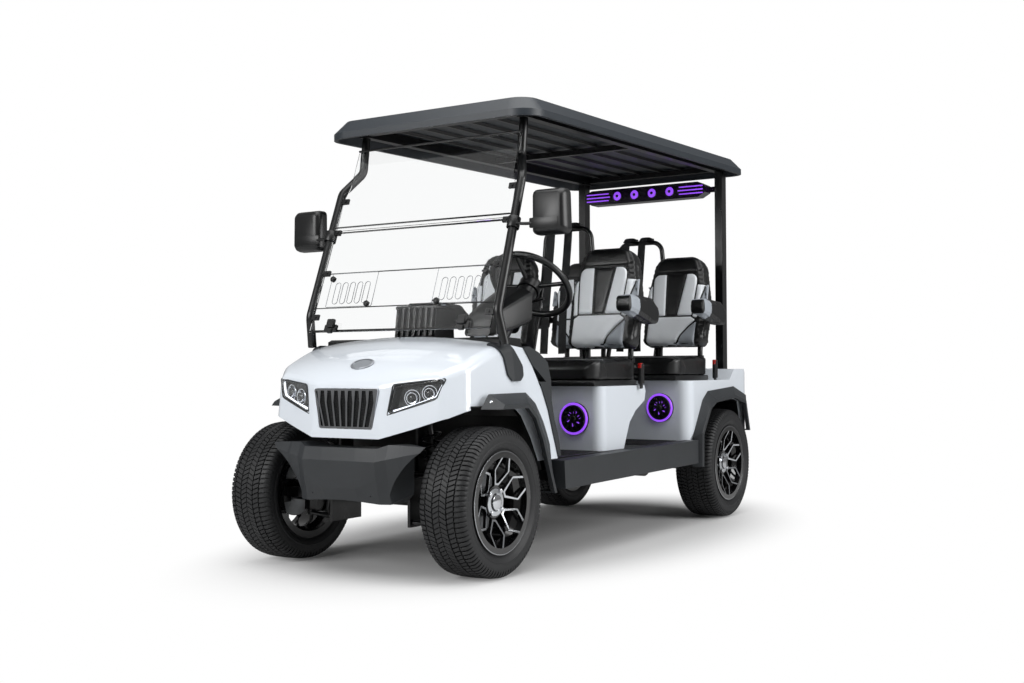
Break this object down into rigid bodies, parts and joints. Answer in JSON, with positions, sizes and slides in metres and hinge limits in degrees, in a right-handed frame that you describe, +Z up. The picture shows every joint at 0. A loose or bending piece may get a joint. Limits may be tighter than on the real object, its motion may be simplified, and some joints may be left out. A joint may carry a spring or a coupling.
{
  "type": "golf cart",
  "caption": "Electric golf cart with two forward-facing seat rows, a moulded roof on bent struts, a folding windscreen and steered front wheels.",
  "frame": {"origin": "on the ground under the middle of the cart", "axes": "+Z up, -Y the way the cart faces, +X to its left"},
  "size_m": [1.4436, 2.96, 1.9837],
  "materials": {
    "black_plastic": "satin black",
    "body_white": "gloss white paint",
    "chassis_steel": "black powder coat",
    "chrome": "bright plated",
    "cushion_vinyl": "black vinyl",
    "hub": "turned disc",
    "lens": "clear moulded lens",
    "rim": "gloss black with machined faces",
    "roof_skin": "dark moulded skin",
    "screen": "clear acrylic sheet",
    "silver_block": "plain case",
    "tail_red": "red lens",
    "trim_grey": "fine moulded grain",
    "tyre": "moulded tread rubber",
    "upholstery": "two-tone vinyl",
    "webbing": "woven belt"
  },
  "bodies": {
    "chassis": {"arch_liners": "black_plastic", "battery_pack": "silver_block", "cowl_trims": "trim_grey", "damper_towers": "chassis_steel", "dash": "black_plastic", "floor_tray": "black_plastic", "frame": "chassis_steel", "front_backrests": "upholstery", "front_bumper": "trim_grey", "front_cowl": "body_white", "front_cushion": "cushion_vinyl", "front_flares": "trim_grey", "front_seat_box": "body_white", "front_seat_frame": "chassis_steel", "front_struts": "chassis_steel", "front_suspension": "chassis_steel", "grille": "chrome", "headlamp_lenses": "lens", "headlamps": "chrome", "mirrors": "trim_grey", "pedals": "chassis_steel", "rear_axle": "chassis_steel", "rear_backrests": "upholstery", "rear_body": "body_white", "rear_bumper": "trim_grey", "rear_cushion": "cushion_vinyl", "rear_flares": "trim_grey", "rear_seat_frame": "chassis_steel", "rear_springs": "chassis_steel", "rear_struts": "chassis_steel", "rear_subframe": "chassis_steel", "roof": "roof_skin", "roof_frame": "chassis_steel", "seat_belts": "webbing", "sills": "trim_grey", "sound_bar": "black_plastic", "speakers": "black_plastic", "steering_column": "black_plastic", "steering_rack": "chassis_steel", "tail_lamps": "tail_red", "windscreen": "screen"},
    "wheel_front_left": {"tyre_front_left": "tyre", "rim_front_left": "rim", "front_hub_left": "hub"},
    "armrest_front_left": {"armrest_front_left": "cushion_vinyl"},
    "wheel_front_right": {"tyre_front_right": "tyre", "rim_front_right": "rim", "front_hub_right": "hub"},
    "armrest_front_right": {"armrest_front_right": "cushion_vinyl"},
    "wheel_rear_left": {"tyre_rear_left": "tyre", "rim_rear_left": "rim"},
    "armrest_rear_left": {"armrest_rear_left": "cushion_vinyl"},
    "wheel_rear_right": {"tyre_rear_right": "tyre", "rim_rear_right": "rim"},
    "armrest_rear_right": {"armrest_rear_right": "cushion_vinyl"},
    "knuckle_left": {"knuckle_left": "chassis_steel"},
    "knuckle_right": {"knuckle_right": "chassis_steel"},
    "steering_wheel": {"steering_wheel": "black_plastic"},
    "tie_rods": {"tie_rods": "chassis_steel"}
  },
  "joints": [
    {"name": "steering", "type": "hinge", "parent": "chassis", "child": "steering_wheel", "pos_m": [0.25, -0.437, 1.184], "axis": [0, 0.6947, 0.7193], "range_deg": [-360, 360]},
    {"name": "knuckle_left_turn", "type": "hinge", "parent": "chassis", "child": "knuckle_left", "pos_m": [0.393, -1.188, 0.292], "axis": [0, 0, 1], "range_deg": [-30.5, 30.5]},
    {"name": "knuckle_right_turn", "type": "hinge", "parent": "chassis", "child": "knuckle_right", "pos_m": [-0.393, -1.188, 0.292], "axis": [0, 0, 1], "range_deg": [-30.5, 30.5]},
    {"name": "wheel_front_left_spin", "type": "hinge", "parent": "knuckle_left", "child": "wheel_front_left", "pos_m": [0.485, -1.188, 0.292], "axis": [1, 0, 0], "continuous": true},
    {"name": "wheel_front_right_spin", "type": "hinge", "parent": "knuckle_right", "child": "wheel_front_right", "pos_m": [-0.485, -1.188, 0.292], "axis": [1, 0, 0], "continuous": true},
    {"name": "wheel_rear_left_spin", "type": "hinge", "parent": "chassis", "child": "wheel_rear_left", "pos_m": [0.485, 1.083, 0.292], "axis": [1, 0, 0], "continuous": true},
    {"name": "wheel_rear_right_spin", "type": "hinge", "parent": "chassis", "child": "wheel_rear_right", "pos_m": [-0.485, 1.083, 0.292], "axis": [1, 0, 0], "continuous": true},
    {"name": "rack_slide", "type": "slide", "parent": "chassis", "child": "tie_rods", "axis": [-1, 0, 0], "range_m": [-0.0596, 0.0596]},
    {"name": "armrest_front_left_fold", "type": "hinge", "parent": "chassis", "child": "armrest_front_left", "pos_m": [0.54, 0.155, 1.07], "axis": [-1, 0, 0], "range_deg": [0, 95]},
    {"name": "armrest_front_right_fold", "type": "hinge", "parent": "chassis", "child": "armrest_front_right", "pos_m": [-0.54, 0.155, 1.07], "axis": [-1, 0, 0], "range_deg": [0, 95]},
    {"name": "armrest_rear_left_fold", "type": "hinge", "parent": "chassis", "child": "armrest_rear_left", "pos_m": [0.54, 1, 1.09], "axis": [-1, 0, 0], "range_deg": [0, 95]},
    {"name": "armrest_rear_right_fold", "type": "hinge", "parent": "chassis", "child": "armrest_rear_right", "pos_m": [-0.54, 1, 1.09], "axis": [-1, 0, 0], "range_deg": [0, 95]}
  ],
  "couplings": [
    {"joint": "knuckle_left_turn", "follows": "steering", "ratio": 0.083333},
    {"joint": "knuckle_right_turn", "follows": "steering", "ratio": 0.083333},
    {"joint": "rack_slide", "follows": "steering", "m_per_rad": 0.009333}
  ]
}
